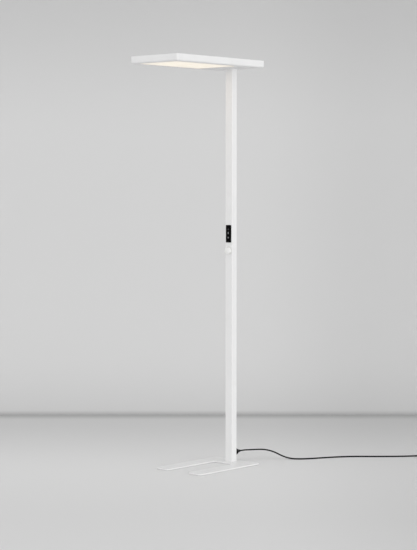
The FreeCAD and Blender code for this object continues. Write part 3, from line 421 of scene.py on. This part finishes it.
def metal(name, dark, light, rough, grain=(1, 1, 1), grain_size=0.0008, rub=0.0):
    """Grain is how each axis is stretched, and rub is how much the lines are polished."""
    paint = new_paint(name)
    cloud = paint.noise(0.006, 4.0)
    lines = paint.noise(grain_size, 3.0, grain)
    colour = paint.mix(cloud * 0.6 + lines * 0.4, dark, light)
    return paint.finish(Base_Color=colour, Metallic=1.0,
                        Roughness=rough + 0.16 * cloud - rub * lines,
                        Normal=paint.relief(lines, LINE_DEPTH))


steel = metal("zinc_steel", tint(150, 152, 158), tint(196, 198, 202), 0.28)
aluminium = metal("aluminium_sheet", tint(186, 187, 189), tint(214, 215, 217), 0.30,
                  grain=(1, 0.02, 1))
brass = metal("brass_pin", tint(176, 146, 84), tint(226, 198, 132), 0.18,
              grain=(0.05, 1, 1), grain_size=0.0004, rub=0.05)
print([finish.name for finish in (steel, aluminium, brass)])

# %% [markdown]
# ## Black gloss and black keys
# The control panel is polished black plastic. It is the darkest thing on the lamp, and what
# shows on it is a faint sheen and the smears of fingers, which live in the roughness alone. In
# a bright studio a black surface turns grey by reflection, so its specular level is low. The
# keys are the same plastic with a matt skin, so that they can be told from the face, and the
# window of the light sensor is a smoky grey.

# %% Black plastics
POLISHED, MATT = 0.000002, 0.00001


def black_plastic(name, shade, rough, smeared, grain_depth, shine):
    """Rough is the roughness of the clean skin, and smeared what smears add to it."""
    paint = new_paint(name)
    smear = paint.noise(0.009, 5.0, (1, 1, 0.45)).between(0.48, 0.72)
    grain = paint.noise(0.0004, 1.0)
    colour = paint.mix(smear * 0.5, shade, tint(14, 14, 15))
    return paint.finish(Base_Color=colour, Roughness=rough + smeared * smear, IOR=PLASTIC_IOR,
                        Specular_IOR_Level=shine, Normal=paint.relief(grain, grain_depth))


black_gloss = black_plastic("black_gloss", tint(3, 3, 4), 0.08, 0.20, POLISHED, 0.04)
black_key = black_plastic("black_key", tint(6, 6, 7), 0.30, 0.14, MATT, 0.07)
sensor_window = black_plastic("sensor_window", tint(58, 56, 60), 0.12, 0.10, POLISHED, 0.30)
print(black_gloss.name, black_key.name, sensor_window.name)

# %% [markdown]
# ## White plastics
# The presence sensor looks out through a milky lens of soft plastic, moulded on its inside into
# rings of small cells that throw the warmth of a passing person onto the detector. They show
# through as a faint pattern. The ring round it is plain white plastic with a fine spark-eroded
# grain.

# %% Sensor lens and white plastic
CELLS_PER_METRE = 190.0
CELL_DEPTH = 0.00005
SPARK_DEPTH = 0.00003


def sensor_lens():
    """Cells in the plane of the lens, so the place is flattened along Y first."""
    paint = new_paint("sensor_lens")
    where = paint.node("ShaderNodeVectorMath", {"operation": "MULTIPLY"},
                       {0: paint.spot(), 1: (1, 0, 1)})
    cells = paint.node("ShaderNodeTexVoronoi", {"feature": "DISTANCE_TO_EDGE"},
                       {"Vector": where, "Scale": CELLS_PER_METRE, "Randomness": 0.25})
    ridge = cells.between(0.0, 0.10)
    colour = paint.mix(ridge, tint(229, 229, 228), tint(242, 242, 241))
    return paint.finish(Base_Color=colour, Roughness=0.34 + 0.08 * ridge, IOR=PLASTIC_IOR,
                        Normal=paint.relief(ridge, CELL_DEPTH), Subsurface_Weight=0.12,
                        Subsurface_Radius=(0.003, 0.003, 0.0025))


def moulded(name, low, high):
    paint = new_paint(name)
    grain = paint.noise(0.0005, 2.0)
    colour = paint.mix(paint.noise(0.02, 2.0), low, high)
    return paint.finish(Base_Color=colour, Roughness=0.46 + 0.10 * grain,
                        Normal=paint.relief(grain, SPARK_DEPTH), IOR=PLASTIC_IOR)


lens_white = sensor_lens()
white_plastic = moulded("white_plastic", tint(226, 226, 224), tint(235, 235, 233))
case_grey = moulded("terminal_grey", tint(168, 170, 172), tint(182, 184, 186))
print(lens_white.name, white_plastic.name, case_grey.name)

# %% [markdown]
# ## Boards
# Circuit boards wear a thin coloured varnish. Copper tracks under it stand a few hundredths of
# a millimetre proud and look a shade lighter. A grid of bricks makes good tracks: it runs in
# straight lines, and its joints leave the copper edges.

# %% Circuit boards and LED strips
BRICKS = {"Scale": 160.0, "Mortar Size": 0.06, "Brick Width": 1.7, "Row Height": 0.4}
TRACK_DEPTH = 0.00003


def board(name, varnish, copper, plane):
    paint = new_paint(name)
    first, second = (paint.along(axis) for axis in plane)
    flat = paint.node("ShaderNodeCombineXYZ", inputs={0: first, 1: second})
    track = paint.node("ShaderNodeTexBrick", {"offset": 0.37}, {"Vector": flat, **BRICKS}, "Fac")
    colour = paint.mix(track, varnish, copper)
    speck = paint.noise(0.0007, 2.0)
    return paint.finish(Base_Color=colour, Roughness=0.25 + 0.15 * speck,
                        Normal=paint.relief(track, TRACK_DEPTH), IOR=PLASTIC_IOR)


green_board = board("green_board", tint(22, 78, 46), tint(52, 118, 74), "XZ")
white_board = board("white_board", tint(226, 226, 222), tint(206, 206, 200), "XY")
print(green_board.name, white_board.name)

# %% [markdown]
# ## Rubber, and the cord's sheath
# The trumpet round the cord is soft black rubber with a satin skin. The cord's sheath is a
# smooth plastic, drawn through a die, so its marks run lengthways, and a floor leaves a little
# grey dust and a few scuffs on it. The mat under the foot is a dense foam with an open, grainy
# face, and its pale grey is painted light, which lifts the dark line of shade under the foot.

# %% Rubber, sheath and mat
def soft_skin(name, clean, dusty, rough, grain_size, grain_depth, dust_size):
    paint = new_paint(name)
    grain = paint.noise(grain_size, 3.0)
    dust = paint.noise(dust_size, 4.0).between(0.55, 0.80)
    colour = paint.mix(dust * 0.4, clean, dusty)
    return paint.finish(Base_Color=colour, Roughness=rough + 0.20 * dust + 0.05 * grain,
                        Specular_IOR_Level=0.12, Normal=paint.relief(grain, grain_depth),
                        IOR=PLASTIC_IOR)


rubber = soft_skin("black_rubber", tint(6, 6, 7), tint(26, 25, 24), rough=0.46,
                   grain_size=0.0007, grain_depth=0.00003, dust_size=0.010)
sheath = soft_skin("cord_sheath", tint(5, 5, 6), tint(24, 23, 22), rough=0.36,
                   grain_size=0.0016, grain_depth=0.00002, dust_size=0.018)
# The mat's pale grey is painted light: it lifts the shade along the foot's lower edge.
mat = soft_skin("pale_mat_lifting_shade", tint(196, 196, 194), tint(178, 176, 172), rough=0.70,
                grain_size=0.0009, grain_depth=0.00015, dust_size=0.020)
print([finish.name for finish in (rubber, sheath, mat)])

# %% [markdown]
# ## Dress every piece
# The packed nodes keep their shapes, and each gets its finish in its material slots. A piece
# that is never seen gets the finish of its real material too, for the day someone opens the
# lamp.

# %% Which finish goes where
DRESS = {
    white_coat: "head_housing head_top_cover post_tube base_plate",
    down_pane: "downlight_diffuser",
    up_pane: "uplight_pane",
    steel: "cover_screws carrier_screws bracket_screws driver_screws post_foot_screws "
           "post_head_screws control_board_screws base_screws post_foot_block head_bracket "
           "strain_relief_nut",
    aluminium: "led_carrier led_driver",
    white_board: "downlight_led_strips uplight_led_strips",
    green_board: "control_board sensor_board",
    black_gloss: "control_panel",
    black_key: "brighter_key dimmer_key brighter_key_plunger dimmer_key_plunger key_switches",
    sensor_window: "light_sensor_lens motion_detector",
    lens_white: "sensor_dome",
    white_plastic: "sensor_ring sensor_nut",
    case_grey: "terminal_block driver_lead inner_lead",
    rubber: "strain_relief plug_body mains_lead mains_lead_coil mains_lead_end",
    mat: "base_underlay",
    brass: "plug_pins",
}


def dress(piece, finish):
    piece.data.materials.clear()
    piece.data.materials.append(finish)


for finish, names in DRESS.items():
    for name in names.split():
        dress(nodes[name], finish)
dress(mains_cord, sheath)
bare = set(nodes) - {name for names in DRESS.values() for name in names.split()}
print("nodes left without a finish:", sorted(bare))

# %% [markdown]
# ## Turned pieces
# Screws, a lens, a rubber sleeve and a plug are all round about one axis, as if turned on a
# lathe. Blender's Spin and Screw tools do this by hand. In code it is simplest to lay rings of
# points along the axis and to join each ring to the next with faces. Each ring has a radius, a
# height, and a number of sides where it isn't a circle, such as 6 for the hexagonal socket of a
# screw. Sharp edges are marked by their angle, so that the rest shades smoothly.

# %% A lathe
def ring_radius(radius, sides, angle):
    """A circle's radius, or the distance to the flat of a polygon that touches that circle."""
    if not sides:
        return radius
    part = 2 * math.pi / sides
    return radius / math.cos((angle + part / 2) % part - part / 2)


def turn(made, rings, place, steps):
    """Adds a closed turned form to a bmesh. Its axis is Z, and place is where it goes."""
    rows = []
    for radius, height, *sides in rings:
        angles = [2 * math.pi * k / steps for k in range(steps)] if radius else [0.0]
        reaches = [ring_radius(radius, sides[0] if sides else 0, a) for a in angles]
        spots = [(r * math.cos(a), r * math.sin(a), height) for a, r in zip(angles, reaches)]
        rows.append([made.verts.new(place @ Vector(spot)) for spot in spots])
    for low, high in zip(rows, rows[1:]):
        for k in range(steps):
            here = [low[k % len(low)], low[(k + 1) % len(low)],
                    high[(k + 1) % len(high)], high[k % len(high)]]
            made.faces.new(list(dict.fromkeys(here)))


def facing(direction, place):
    """The turn and shift that lay a lathe's axis along a direction from a place."""
    aim = Vector(direction).to_track_quat("Z", "Y").to_matrix().to_4x4()
    return Matrix.Translation(place) @ aim


def in_metres(rings):
    """Rings from a table in millimetres."""
    return [(radius / 1000, height / 1000) for radius, height in rings]


def add_piece(name, made, finish, body="root", crease=35):
    """An object from a bmesh, smooth but for its sharp edges, that rides on a body."""
    bmesh.ops.recalc_face_normals(made, faces=made.faces)
    data = bpy.data.meshes.new(name)
    made.to_mesh(data)
    made.free()
    data.shade_smooth()
    data.set_sharp_from_angle(angle=math.radians(crease))
    data.materials.append(finish)
    piece = bpy.data.objects.new(name, data)
    scene.collection.objects.link(piece)
    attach(piece, body)
    print(name, len(data.polygons), "faces")
    return piece


# %% [markdown]
# ## The rubber sleeve
# Where the lead leaves the post, a soft trumpet keeps it from being bent sharply at the hole.
# It starts as wide as its flange, stays full for a finger's breadth, and then draws in along a
# hollow curve to the lead. A curve of a few rings gives that line, and the rings at both ends of
# the flange are close together, which leaves it a small soft edge.

# %% Strain relief
SLEEVE = [(0, 9.6), (7.5, 9.6), (7.5, 18), (16.6, 18), (16.9, 18.3), (16.9, 20.4), (16.6, 20.8),
          (16.5, 26), (16.4, 32), (16.1, 36), (15.2, 39), (13.7, 41.5), (12.1, 44), (10.6, 46.8),
          (9.3, 50), (8.2, 53.5), (7.3, 57), (6.5, 60.5), (5.9, 64), (5.4, 66.8), (4.9, 67.8),
          (0, 67.9)]
sleeve = bmesh.new()
turn(sleeve, in_metres(SLEEVE), facing((0, 1, 0), (0, 0, EXIT.z)), 64)
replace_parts(add_piece("strain_relief_sleeve", sleeve, rubber), "strain_relief")

# %% [markdown]
# ## The sensor's lens
# The lens is a full, milky dome with a short skirt. A narrow groove parts it from the ring on
# the post, and that groove is what draws its dark outline. The dome is fuller at its shoulder
# than a ball, so its rings follow a superellipse, which is a circle's formula with another
# power. A ring for every few degrees keeps it round.

# %% Dome of the presence sensor
DOME_R, DOME_CAP, DOME_SKIRT = 0.0181, 0.0075, 0.0035
CAP_RINGS = 16
SHOULDER, CROWN = 0.62, 0.9
GROOVE = [(0, 0), (0.0154, 0), (0.0154, 0.0016), (0.0177, 0.0018), (DOME_R, 0.0021)]
rises = [math.pi / 2 * k / CAP_RINGS for k in range(CAP_RINGS)]
cap = [(DOME_R * math.cos(a) ** SHOULDER, DOME_SKIRT + DOME_CAP * math.sin(a) ** CROWN)
       for a in rises]
low, high = (Vector(corner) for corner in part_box("sensor_dome"))
dome_place = ((low.x + high.x) / 2, high.y, (low.z + high.z) / 2)
dome = bmesh.new()
turn(dome, [*GROOVE, *cap, (0, DOME_SKIRT + DOME_CAP)], facing((0, -1, 0), dome_place), 64)
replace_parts(add_piece("sensor_lens_dome", dome, lens_white, crease=28), "sensor_dome")

# %% [markdown]
# ## Screws
# Small button head screws close the head's lid and hold the post at both ends. What makes a
# screw look like one is its socket, so the top of the head is a ring that turns into a
# hexagon and goes down inside it. The screws under the foot have wide flat heads.

# %% Socket screws
# The head's outline and its socket, as shares of its radius and its height.
HEAD_RINGS = [(0.97, 0), (1, 0.10), (1, 0.38), (0.93, 0.66), (0.78, 0.88), (0.60, 0.98), (0.53, 1),
              (0.4368, 1, 6), (0.42, 0.93, 6), (0.42, 0.35, 6), (0, 0.28)]


def socket_screws(name, node, spots, direction, head, shank):
    """Screws for one node: head is its radius and height, shank its radius and length."""
    head_r, head_high = head
    shank_r, shank_long = shank
    rings = [(0, -shank_long), (shank_r * 0.8, -shank_long),
             (shank_r, -shank_long + shank_r * 0.5), (shank_r, 0)]
    rings += [(head_r * out, head_high * up, *sides) for out, up, *sides in HEAD_RINGS]
    made = bmesh.new()
    for spot in spots:
        turn(made, rings, facing(direction, spot), 36)
    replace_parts(add_piece(name, made, steel, crease=40), node)


def each_side(x, ys, z):
    """The same spots at both sides of the middle."""
    return [(side, y, z) for side in (-x, x) for y in ys]


UP, DOWN, BACK = (0, 0, 1), (0, 0, -1), (0, 1, 0)
SMALL_HEAD, SHORT_SHANK, LONG_SHANK = (0.00348, 0.0022), (0.0018, 0.0076), (0.0018, 0.0105)
FOOT_HEAD, FOOT_SHANK = (0.0052, 0.0030), (0.0029, 0.0120)
socket_screws("cover_socket_screws", "cover_screws",
              each_side(0.136, (-0.530, -0.310, 0.061), 1.94765), UP, SMALL_HEAD, SHORT_SHANK)
socket_screws("post_head_socket_screws", "post_head_screws",
              each_side(0.010, (0.018,), 1.902), BACK, SMALL_HEAD, LONG_SHANK)
socket_screws("post_foot_socket_screws", "post_foot_screws",
              each_side(0.010, (0.018,), 0.0215), BACK, SMALL_HEAD, LONG_SHANK)
socket_screws("foot_socket_screws", "base_screws",
              each_side(0.011, (-0.008, 0.008), 0.0045), DOWN, FOOT_HEAD, FOOT_SHANK)

# %% [markdown]
# ## Marks on the keys
# The keys carry a printed sign each: a sun with long rays for more light, and one with short
# rays for less. The print is a skin a few hundredths of a millimetre thick, so each sign
# is a thin sheet just in front of its key, cut out as a disc and eight bars, and it rides on
# the key's own body to move with it.

# %% Finish of the print
def printed(name, worn, fresh):
    paint = new_paint(name)
    wear = paint.noise(0.0012, 3.0)
    return paint.finish(Base_Color=paint.mix(wear, worn, fresh), Roughness=0.5 + 0.1 * wear,
                        IOR=PLASTIC_IOR)


sign_grey = printed("sign_print", tint(150, 151, 153), tint(170, 171, 173))
print(sign_grey.name)

# %% Printed signs
DISC_R, RAY_FROM, RAY_WIDE = 0.0024, 0.0034, 0.0012
LONG_RAY, SHORT_RAY = 0.0050, 0.0043
UPRIGHT_RAYS_LONGER = 1.25
SIGN_GAP, SIGN_THICK = 0.00001, 0.00003


def away(angle):
    """The direction in the plane of a key that is turned from upright by this angle."""
    return Vector((math.sin(angle), 0, math.cos(angle)))


def ray_corners(angle, reach):
    """The corners of one ray, a bar that points away from the middle of the sign."""
    aside = away(angle + math.pi / 2) * RAY_WIDE / 2
    start, end = away(angle) * RAY_FROM, away(angle) * reach
    return [start - aside, start + aside, end + aside, end - aside]


def sun_sign(key, ray):
    """A disc with eight rays of this reach on the face of a key, with a little thickness."""
    low, high = (Vector(corner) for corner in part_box(key))
    middle = Vector(((low.x + high.x) / 2, low.y - SIGN_GAP, (low.z + high.z) / 2))
    outlines = [[away(2 * math.pi * k / 32) * DISC_R for k in range(32)]]
    for k in range(8):
        reach = ray if k % 4 else ray * UPRIGHT_RAYS_LONGER
        outlines.append(ray_corners(math.pi * k / 4, reach))
    made = bmesh.new()
    for outline in outlines:
        made.faces.new([made.verts.new(middle + corner) for corner in outline])
    skin = bmesh.ops.extrude_face_region(made, geom=made.faces[:])
    moved = [part for part in skin["geom"] if isinstance(part, bmesh.types.BMVert)]
    bmesh.ops.translate(made, vec=(0, -SIGN_THICK, 0), verts=moved)
    add_piece(key.replace("key", "sign"), made, sign_grey, key)


sun_sign("brighter_key", LONG_RAY)
sun_sign("dimmer_key", SHORT_RAY)

# %% [markdown]
# ## The plug
# A moulded plug is gripped and pulled, so its neck has soft ribs, its waist is hollow, and its
# head is ridged all round for wet fingers. It is one turned form. The ridges are made last, by
# moving the points of the head in and out with the angle round the axis.

# %% Plug with grips
PLUG_RINGS = [(0, 0), (4.3, 0), (4.8, 0.8), (4.9, 3), (5.2, 3.6), (5.2, 5.6), (4.9, 6.2),
              (5.0, 8.4), (5.5, 9), (5.5, 11), (5.1, 11.6), (5.3, 13.8), (5.8, 14.4), (5.8, 16.4),
              (5.4, 17), (5.6, 19.4), (6.6, 21.4), (9.0, 24), (11.8, 27), (14.0, 30), (15.6, 33),
              (17.0, 36), (18.1, 39), (18.7, 42), (18.9, 45), (18.9, 52.6), (18.4, 54.2),
              (17.6, 55.2), (16.8, 55.8), (16.4, 55.9), (0, 55.9)]
RIDGES, RIDGE_DEPTH = 24, 0.035
RIDGES_MIDDLE, RIDGES_HALF = 0.046, 0.007
plug = bmesh.new()
turn(plug, in_metres(PLUG_RINGS), Matrix.Identity(4), 96)
for vert in plug.verts:
    ridged = min(1.0, 2 * max(0.0, 1 - abs(vert.co.z - RIDGES_MIDDLE) / RIDGES_HALF))
    groove = 0.5 - 0.5 * math.cos(RIDGES * math.atan2(vert.co.y, vert.co.x))
    shrink = 1 - RIDGE_DEPTH * ridged * groove
    vert.co.x *= shrink
    vert.co.y *= shrink
plug.transform(facing(RIGHT, plug_place))
plug_piece = add_piece("mains_plug", plug, rubber, crease=50)
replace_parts(plug_piece, "plug_body")

# %% [markdown]
# ## The studio
# The lamp stands on a pale grey floor in front of a pale grey wall, and both greys carry painted
# shade. Where the two meet, a soft dark line paints how little light reaches the corner, and so
# both greys are told as steps away from it: the floor is brightest near the lamp and darker
# towards the camera, the wall is darker towards its top, and both are darker on the right. Both
# sheets are stage pieces, so they aren't part of the object. The wall is clear from behind,
# which lets a camera on the far side look through it.

# %% Finish of the floor and the wall
WALL_BEHIND = 1.70
STAGE_SIZE = 14.0
WALL_HEIGHT = 5
TOWARDS_WALL = Vector((-math.sin(LOOK_ASIDE), math.cos(LOOK_ASIDE), 0))
# Each step of painted shade goes from the grey before it to its own grey between two distances in
# metres.
FLOOR_SHADE_STEPS = [(0.0, 0.22, 211), (0.2, 1.9, 229), (1.9, 3.2, 222)]
WALL_SHADE_STEPS = [(0.0, 0.03, 212), (0.04, 0.35, 216), (0.4, 1.3, 214), (1.6, 2.6, 198)]
# The painted shade on the right: how far it reaches, how much of it, and its grey.
RIGHT_SHADE_REACH, RIGHT_SHADE_SHARE, RIGHT_SHADE_GREY = 0.9, 0.19, 150


def stage_finish_with_painted_shade(name, axis, corner, steps, clear_from_behind=False):
    """A matt skin with painted shade: its grey changes with the distance from the corner, in
    smooth steps, and a painted shade darkens it a little on the right."""
    paint = new_paint(name)
    reach, colour = abs(paint.along(axis)), grey(corner)
    # The grey at the corner is its painted shade, and the steps paint how the light rises and
    # falls away from it.
    for near, far, shade in steps:
        colour = paint.mix(reach.between(near, far), colour, grey(shade))
    # A painted shade that darkens the sheet towards the right.
    painted_right_shade = paint.along("X").between(0.0, RIGHT_SHADE_REACH)
    colour = paint.mix(painted_right_shade * RIGHT_SHADE_SHARE, colour, grey(RIGHT_SHADE_GREY))
    skin = paint.node("ShaderNodeBsdfPrincipled", inputs={
        "Base Color": colour, "Roughness": 0.85 + 0.1 * paint.noise(0.004, 2.0),
        "Specular IOR Level": 0.1})
    if clear_from_behind:
        back = paint.node("ShaderNodeNewGeometry", output="Backfacing")
        clear = paint.node("ShaderNodeBsdfTransparent")
        skin = paint.node("ShaderNodeMixShader", inputs={0: back, 1: skin, 2: clear})
    return paint.surface(skin)


floor_finish = stage_finish_with_painted_shade("studio_floor", "Y", 180, FLOOR_SHADE_STEPS)
wall_finish = stage_finish_with_painted_shade("studio_wall", "Z", 186, WALL_SHADE_STEPS, clear_from_behind=True)
print(floor_finish.name, "and", wall_finish.name)


# %% Floor and wall
def stage_sheet(name, edges, finish):
    """A sheet as wide as the stage, between two edges that are given by their y and z."""
    made = bmesh.new()
    half = STAGE_SIZE / 2
    (y, z), (end_y, end_z) = edges
    corners = [(-half, y, z), (half, y, z), (half, end_y, end_z), (-half, end_y, end_z)]
    made.faces.new([made.verts.new(corner) for corner in corners])
    data = bpy.data.meshes.new(name)
    made.to_mesh(data)
    made.free()
    data.materials.append(finish)
    sheet = bpy.data.objects.new(name, data)
    sheet.location = TOWARDS_WALL * WALL_BEHIND
    sheet.rotation_euler = (0, 0, LOOK_ASIDE)
    scene.collection.objects.link(sheet)


stage_sheet("studio_floor", [(-STAGE_SIZE, 0), (0, 0)], floor_finish)
stage_sheet("studio_wall", [(0, 0), (0, WALL_HEIGHT)], wall_finish)
print("wall", WALL_BEHIND, "m behind the post")

# %% [markdown]
# ## Light
# The world is bright at the horizon, darker overhead, and as dark as the floor underfoot.
# A wide soft light on the right makes the side of the lamp brighter than its front, and one in
# front lifts the front. Both stand far away, beyond the floor, so they leave no bright spots on
# it. The pane's own glow is gentle, so a small warm light that hangs just under it throws the
# light that it would. With the Standard view and no exposure, a colour renders about as it is
# written where all of them together add up to one.

# %% The world
def studio_world(ground, horizon, zenith):
    """Greys by the height of each direction, which is the Z of its generated coordinate."""
    paint = Paint(bpy.data.worlds.new("studio_world"))
    direction = paint.node("ShaderNodeTexCoord", output="Generated")
    upwards = paint.node("ShaderNodeSeparateXYZ", inputs={0: direction}, output="Z")
    colour = paint.mix(upwards.between(-0.04, 0.0), ground, horizon)
    colour = paint.mix(upwards.between(0.15, 0.85), colour, zenith)
    return paint.surface(paint.node("ShaderNodeBackground", inputs={"Color": colour}))


def evenly(strength):
    return (strength, strength, strength, 1)


scene.world = studio_world(ground=evenly(0.60), horizon=evenly(0.96), zenith=evenly(0.83))
scene.view_settings.view_transform = "Standard"
print(scene.world.name)

# %% Soft lights
WHITE, WARM = (1, 1, 1), (1.0, 0.75, 0.56)
# Name, place, target, width and height, power in watts, colour.
LIGHTS = [
    ("key_light", (9.0, 1.1, 1.3), (0, 0, 0.5), (5.0, 2.4), 220, WHITE),
    ("front_light", (-1.9, -10.0, 1.3), (0, 0, 0.5), (5.0, 2.2), 118, WHITE),
    ("pane_light", (0, -0.31, 1.914), (0, -0.31, 0), (0.236, 0.41), 0.12, WARM),
]


def soft_light(name, place, target, size, power, colour):
    """A rectangular light that the camera doesn't see."""
    data = bpy.data.lights.new(name, "AREA")
    data.shape = "RECTANGLE"
    data.size, data.size_y = size
    data.energy = power
    data.color = colour
    light = bpy.data.objects.new(name, data)
    light.location = place
    light.rotation_euler = (Vector(target) - Vector(place)).to_track_quat("-Z", "Y").to_euler()
    light.visible_camera = False
    scene.collection.objects.link(light)


for light in LIGHTS:
    soft_light(*light)
print([name for name, *rest in LIGHTS])

# %% [markdown]
# ## Close the scene
# The box of what is shown should stay that of the packed model.
